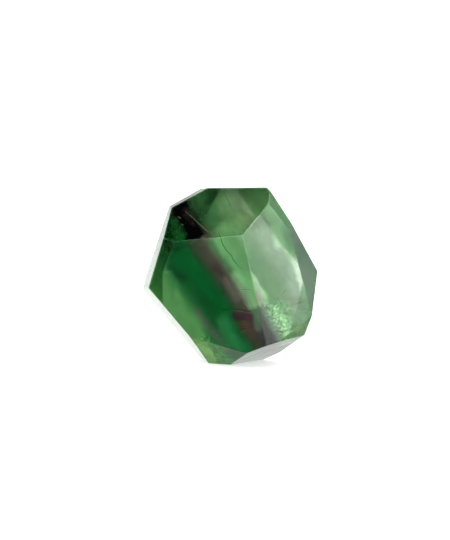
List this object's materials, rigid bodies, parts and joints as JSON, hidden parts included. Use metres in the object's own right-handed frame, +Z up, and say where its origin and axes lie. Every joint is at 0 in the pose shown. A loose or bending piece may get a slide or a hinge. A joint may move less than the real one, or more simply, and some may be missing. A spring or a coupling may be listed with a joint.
{
  "type": "polished crystal",
  "caption": "Green and purple banded fluorite crystal cut as an irregular many-sided block with flat polished faces, standing on a small flat at its foot.",
  "frame": {"origin": "on the resting surface, under the middle of the stone's bounding box", "axes": "+Z up from the foot flat, -Y out of the broad front flats, +X to the right seen from the front"},
  "size_m": [0.0292, 0.0212, 0.0293],
  "materials": {
    "fluorite": "clear polished crystal, banded green and purple"
  },
  "bodies": {
    "root": {"fluorite_crystal": "fluorite"}
  },
  "joints": []
}
